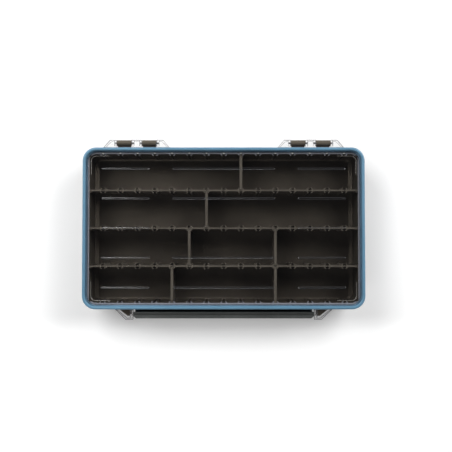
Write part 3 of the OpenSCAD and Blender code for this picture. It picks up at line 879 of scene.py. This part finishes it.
def facing(place, target):
    """The turn that points a light or a camera from a place at a target."""
    return (Vector(target) - Vector(place)).to_track_quat("-Z", "Y").to_euler()


def add_light(name, power, place, target, width, height, spread):
    light = bpy.data.lights.new(name, "AREA")
    light.shape = "RECTANGLE"
    light.size = width
    light.size_y = height
    light.energy = power
    light.spread = math.radians(spread)
    lamp = bpy.data.objects.new(name, light)
    lamp.location = place
    lamp.rotation_euler = facing(place, target)
    bpy.context.scene.collection.objects.link(lamp)


def set_world(sky):
    """Surroundings that are dark overhead, where the window mirrors them, and pale lower down."""
    world = bpy.data.worlds.new("Studio")
    bpy.context.scene.world = world
    world.use_nodes = True
    tree = world.node_tree
    tree.nodes.clear()
    slant = height_of(tree, tree.nodes.new("ShaderNodeTexCoord").outputs["Generated"])
    ramp = tree.nodes.new("ShaderNodeValToRGB")
    pale, dark = ramp.color_ramp.elements
    pale.position = PALE_UP_TO
    pale.color = (1, 1, 1, 1)
    dark.position = DARK_FROM
    dark.color = (0.01, 0.01, 0.01, 1)
    tree.links.new(slant, ramp.inputs["Fac"])
    background = tree.nodes.new("ShaderNodeBackground")
    background.inputs["Strength"].default_value = sky
    tree.links.new(ramp.outputs["Color"], background.inputs["Color"])
    output = tree.nodes.new("ShaderNodeOutputWorld")
    tree.links.new(background.outputs[0], output.inputs["Surface"])


class STORAGEBOX_OT_studio(bpy.types.Operator):
    """Make the floor, the lights and the camera"""

    bl_idname = "storage_box.studio"
    bl_label = "Studio"

    def execute(self, context):
        studio = context.scene.storage_box_studio
        clear_selection()
        bpy.ops.mesh.primitive_circle_add(
            vertices=96, radius=FLOOR_RADIUS, fill_type="NGON", location=(0, 0, 0)
        )
        floor = context.object
        floor.name = floor.data.name = "studio_floor"
        finish = floor_finish("studio_floor", studio.floor, studio.glow, studio.far_glow)
        floor.data.materials.append(finish)
        for name, shape in LIGHTS.items():
            add_light(name, getattr(studio, name + "_power"), *shape)
        set_world(studio.sky)
        lens = bpy.data.cameras.new("photo_view")
        lens.sensor_width = 36
        lens.lens = CAMERA_LENS
        lens.clip_start = 0.01
        lens.clip_end = 50
        camera = bpy.data.objects.new("photo_view", lens)
        camera.location = CAMERA_PLACE
        camera.rotation_euler = facing(CAMERA_PLACE, CAMERA_AIM)
        context.scene.collection.objects.link(camera)
        context.scene.camera = camera
        context.scene.view_settings.view_transform = "Standard"
        return {"FINISHED"}


class STORAGEBOX_PT_panel(bpy.types.Panel):
    """The box's sizes, finishes and studio, and the steps that make it"""

    bl_idname = "STORAGEBOX_PT_panel"
    bl_label = "Storage Box"
    bl_space_type = "VIEW_3D"
    bl_region_type = "UI"
    bl_category = "Storage Box"

    def draw(self, context):
        for group in ("storage_box_sizes", "storage_box_finishes", "storage_box_studio"):
            settings = getattr(context.scene, group)
            box = self.layout.box()
            for name in settings.__annotations__:
                box.prop(settings, name)
        for operator in OPERATORS:
            self.layout.operator(operator.bl_idname)


OPERATORS = (
    STORAGEBOX_OT_tub,
    STORAGEBOX_OT_marks,
    STORAGEBOX_OT_dividers,
    STORAGEBOX_OT_pins,
    STORAGEBOX_OT_lid,
    STORAGEBOX_OT_latch,
    STORAGEBOX_OT_studio,
)
SETTINGS = {
    "storage_box_sizes": STORAGEBOX_PG_sizes,
    "storage_box_finishes": STORAGEBOX_PG_finishes,
    "storage_box_studio": STORAGEBOX_PG_studio,
}
CLASSES = (*SETTINGS.values(), *OPERATORS, STORAGEBOX_PT_panel)


def register():
    for cls in CLASSES:
        bpy.utils.register_class(cls)
    for name, group in SETTINGS.items():
        setattr(bpy.types.Scene, name, bpy.props.PointerProperty(type=group))


def unregister():
    for name in SETTINGS:
        delattr(bpy.types.Scene, name)
    for cls in reversed(CLASSES):
        bpy.utils.unregister_class(cls)


def main():
    register()
    bpy.ops.storage_box.tub()
    bpy.ops.storage_box.marks()
    bpy.ops.storage_box.dividers()
    bpy.ops.storage_box.pins()
    bpy.ops.storage_box.lid()
    bpy.ops.storage_box.latch()
    bpy.ops.storage_box.studio()
    bpy.context.view_layer.update()


if __name__ == "__main__":
    main()
